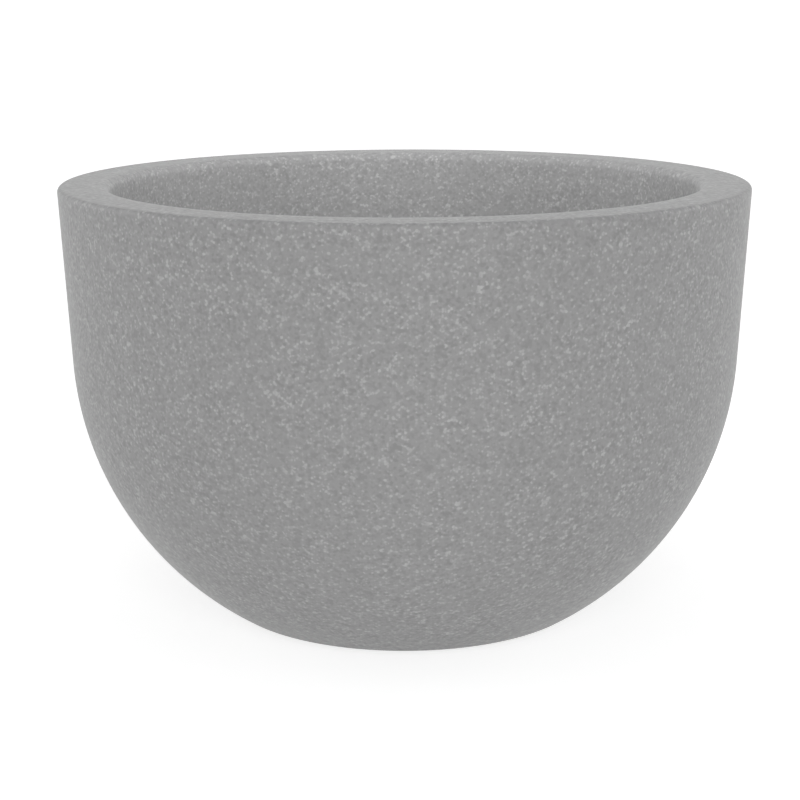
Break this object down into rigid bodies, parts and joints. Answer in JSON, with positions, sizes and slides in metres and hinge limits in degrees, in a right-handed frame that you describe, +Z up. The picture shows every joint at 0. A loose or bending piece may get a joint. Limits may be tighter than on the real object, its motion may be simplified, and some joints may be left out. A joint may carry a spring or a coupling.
{
  "type": "planter",
  "caption": "Round double-walled bowl planter with a thick flat rim, a screw-plugged drain in its floor and push-in rubber feet.",
  "frame": {"origin": "on the floor, under the middle of the bowl", "axes": "+Z up along the bowl's axis of revolution, +X through the vent plug, the wing of the drain plug along X at rest"},
  "size_m": [0.5995, 0.5996, 0.38],
  "materials": {
    "granite_moulding": "matte grey moulded polyethylene with fine white flecks, like granite",
    "drain_fitting": "black moulded polypropylene, satin",
    "plug_plastic": "dark grey moulded polypropylene, satin",
    "seal_rubber": "black sheet rubber",
    "foot_rubber": "black moulded rubber, matte"
  },
  "bodies": {
    "planter": {"planter_body": "granite_moulding", "drain_bush": "drain_fitting", "bush_gasket": "seal_rubber", "drain_nut": "drain_fitting", "vent_plug": "plug_plastic", "foot_pad_1": "foot_rubber", "foot_pad_2": "foot_rubber", "foot_pad_3": "foot_rubber", "foot_pad_4": "foot_rubber"},
    "plug_seal": {"plug_gasket": "seal_rubber"},
    "drain_plug": {"drain_plug": "plug_plastic"}
  },
  "joints": [
    {"name": "plug_lift", "type": "slide", "parent": "planter", "child": "plug_seal", "axis": [0, 0, 1], "range_m": [0, 0.00901]},
    {"name": "plug_turn", "type": "hinge", "parent": "plug_seal", "child": "drain_plug", "pos_m": [0, 0, 0.03], "axis": [0, 0, 1], "range_deg": [0, 1080]}
  ],
  "couplings": [
    {"joint": "plug_lift", "follows": "plug_turn", "m_per_rad": 0.00047746}
  ]
}
